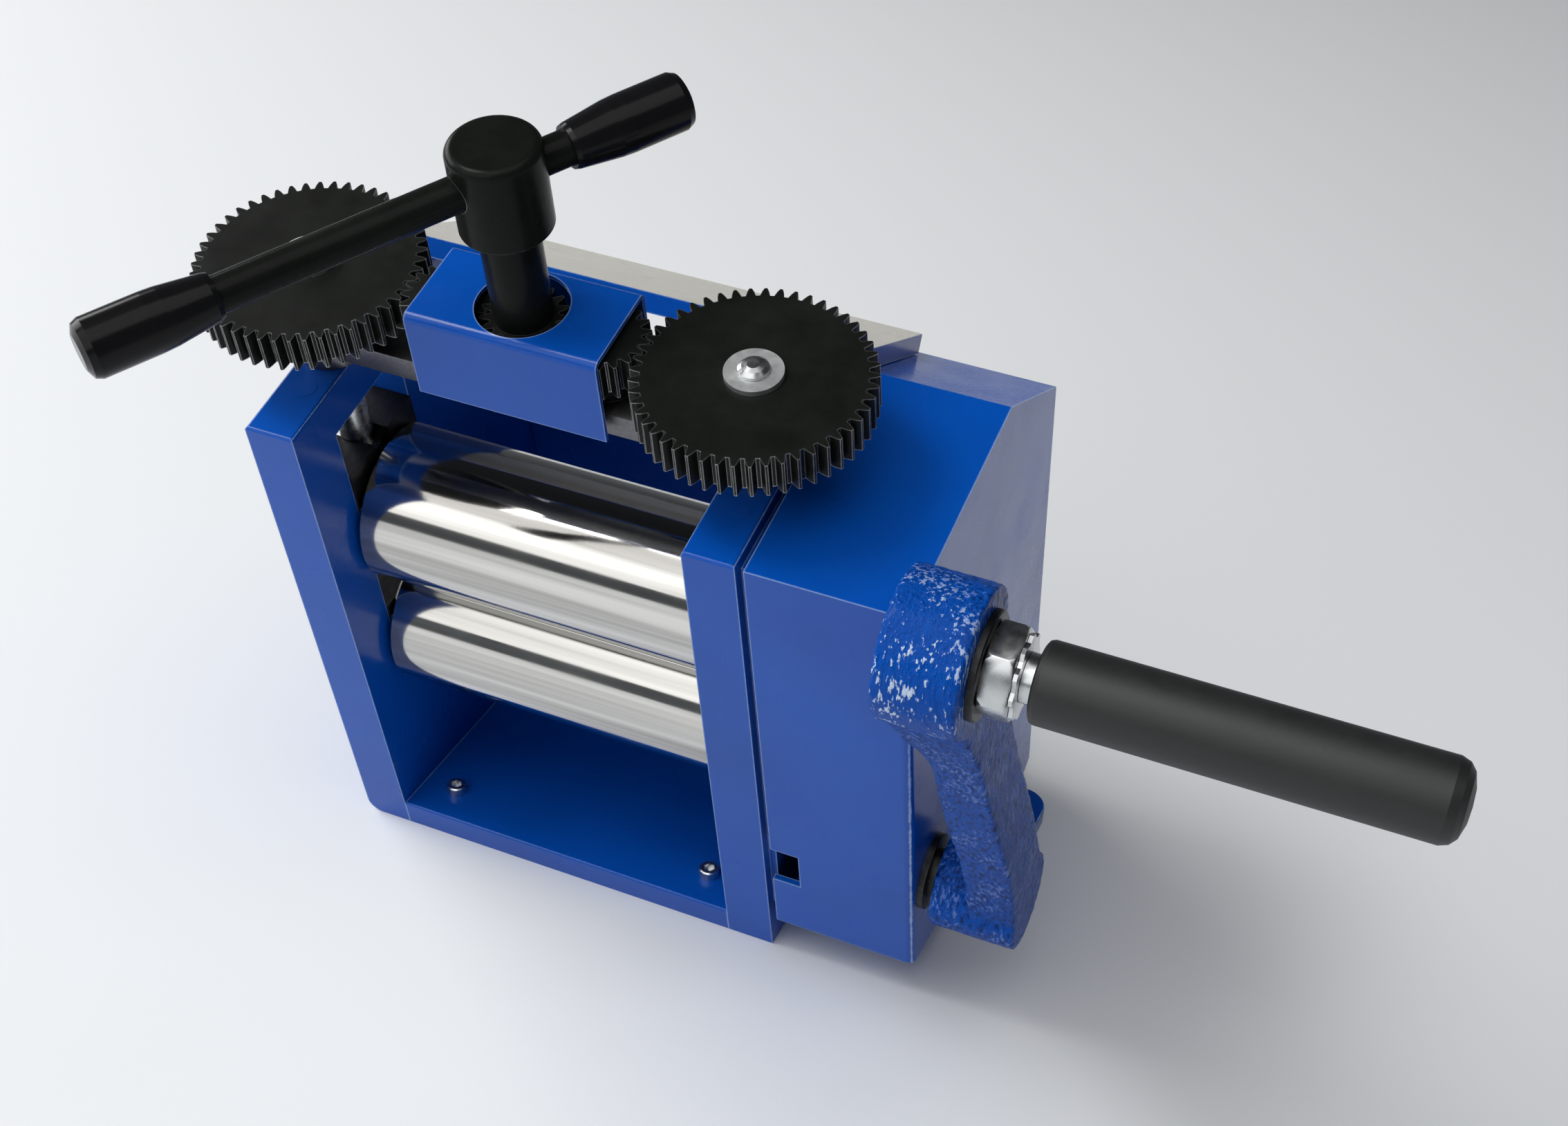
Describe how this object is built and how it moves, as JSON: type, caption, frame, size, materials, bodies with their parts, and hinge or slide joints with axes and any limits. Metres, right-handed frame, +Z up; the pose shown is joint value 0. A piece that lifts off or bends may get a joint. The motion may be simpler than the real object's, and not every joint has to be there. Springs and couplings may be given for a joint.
{
  "type": "jewellers rolling mill",
  "caption": "Leaning bench rolling mill with polished rolls, a geared roll-gap drive under a T-handle and a hand crank on a side gear cover.",
  "frame": {"origin": "middle of the underside of the base plate", "axes": "+X to the crank side along the rolls, +Y to the rear, +Z up from the bench; the frame leans 17 degrees forward"},
  "size_m": [0.2844, 0.2044, 0.2229],
  "materials": {
    "blue_paint": "cobalt blue gloss powder coat",
    "polished_steel": "hardened steel, mirror polished",
    "blackened_steel": "blackened steel, satin",
    "black_plastic": "glossy black plastic",
    "black_rubber": "matt black rubber",
    "bronze": "plain bearing bronze",
    "zinc_steel": "zinc plated steel",
    "bar_steel": "dark grey steel bar",
    "block_steel": "machined steel"
  },
  "bodies": {
    "frame": {"side_plate_right": "blue_paint", "side_plate_left": "blue_paint", "base_plate": "blue_paint", "base_screws": "zinc_steel", "foot_right": "blue_paint", "foot_left": "blue_paint", "rear_top_plate": "blue_paint", "crossbar": "bar_steel", "crossbar_screws": "zinc_steel", "handle_bush": "bronze", "idler_pins": "zinc_steel", "centre_cover": "blue_paint", "gear_cover": "blue_paint", "gear_case_back": "blue_paint", "drive_bush_inner": "bronze", "drive_bush_outer": "zinc_steel", "lower_block_right": "block_steel", "lower_block_left": "block_steel", "left_shaft_cap": "blue_paint"},
    "upper_carriage": {"upper_block_right": "block_steel", "upper_block_left": "block_steel"},
    "upper_roll": {"upper_roll": "polished_steel", "upper_roll_gear": "blackened_steel"},
    "lower_roll": {"lower_roll": "polished_steel", "lower_roll_gear": "blackened_steel", "reduction_gear": "blackened_steel"},
    "crank": {"drive_shaft": "zinc_steel", "drive_pinion": "blackened_steel", "crank_arm": "blue_paint", "crank_washer": "zinc_steel", "crank_nut": "zinc_steel", "lock_washer": "zinc_steel", "handle_spindle": "zinc_steel"},
    "crank_grip": {"crank_grip": "black_rubber"},
    "handle": {"centre_pinion": "blackened_steel", "handle_shaft": "blackened_steel", "handle_hub": "blackened_steel"},
    "tommy_bar": {"tommy_bar": "blackened_steel", "grip_front": "black_plastic", "grip_rear": "black_plastic"},
    "idler_left": {"idler_gear_left": "blackened_steel"},
    "idler_right": {"idler_gear_right": "blackened_steel"},
    "screw_left": {"pressure_screw_left": "zinc_steel", "big_gear_left": "blackened_steel", "gear_washer_left": "zinc_steel"},
    "screw_right": {"pressure_screw_right": "zinc_steel", "big_gear_right": "blackened_steel", "gear_washer_right": "zinc_steel"}
  },
  "joints": [
    {"name": "handle_turn", "type": "hinge", "parent": "frame", "child": "handle", "pos_m": [0, -0.0816, 0.19953], "axis": [0, -0.2924, 0.9563], "range_deg": [-725, 1810]},
    {"name": "tommy_slide", "type": "slide", "parent": "handle", "child": "tommy_bar", "axis": [0.5807, 0.7785, 0.238], "range_m": [-0.0051, 0.0494]},
    {"name": "idler_left_turn", "type": "hinge", "parent": "frame", "child": "idler_left", "pos_m": [-0.018, -0.07196, 0.16798], "axis": [0, -0.2924, 0.9563], "range_deg": [-1621.5, 650.7]},
    {"name": "idler_right_turn", "type": "hinge", "parent": "frame", "child": "idler_right", "pos_m": [0.018, -0.07196, 0.16798], "axis": [0, -0.2924, 0.9563], "range_deg": [-1621.5, 650.7]},
    {"name": "upper_slide", "type": "slide", "parent": "frame", "child": "upper_carriage", "axis": [0, -0.2924, 0.9563], "range_m": [-0.00139, 0.00348]},
    {"name": "screw_left_turn", "type": "hinge", "parent": "upper_carriage", "child": "screw_left", "pos_m": [-0.052, -0.06699, 0.15172], "axis": [0, -0.2924, 0.9563], "range_deg": [-253.5, 630]},
    {"name": "screw_right_turn", "type": "hinge", "parent": "upper_carriage", "child": "screw_right", "pos_m": [0.052, -0.06699, 0.15172], "axis": [0, -0.2924, 0.9563], "range_deg": [-253.5, 630]},
    {"name": "crank_turn", "type": "hinge", "parent": "frame", "child": "crank", "pos_m": [0.1, -0.0503, 0.03972], "axis": [1, 0, 0], "continuous": true},
    {"name": "grip_spin", "type": "hinge", "parent": "crank", "child": "crank_grip", "pos_m": [0.16, -0.11009, 0.14583], "axis": [1, 0, 0], "continuous": true},
    {"name": "lower_roll_turn", "type": "hinge", "parent": "frame", "child": "lower_roll", "pos_m": [0, -0.04038, 0.0647], "axis": [1, 0, 0], "continuous": true},
    {"name": "upper_roll_turn", "type": "hinge", "parent": "upper_carriage", "child": "upper_roll", "pos_m": [0, -0.05178, 0.10199], "axis": [1, 0, 0], "continuous": true}
  ],
  "couplings": [
    {"joint": "handle_turn", "follows": "upper_slide", "rad_per_m": 9055.2},
    {"joint": "idler_left_turn", "follows": "upper_slide", "rad_per_m": -8102},
    {"joint": "idler_right_turn", "follows": "upper_slide", "rad_per_m": -8102},
    {"joint": "screw_left_turn", "follows": "upper_slide", "rad_per_m": 3141.6},
    {"joint": "screw_right_turn", "follows": "upper_slide", "rad_per_m": 3141.6},
    {"joint": "lower_roll_turn", "follows": "crank_turn", "ratio": -0.3871},
    {"joint": "upper_roll_turn", "follows": "crank_turn", "ratio": 0.3871}
  ]
}
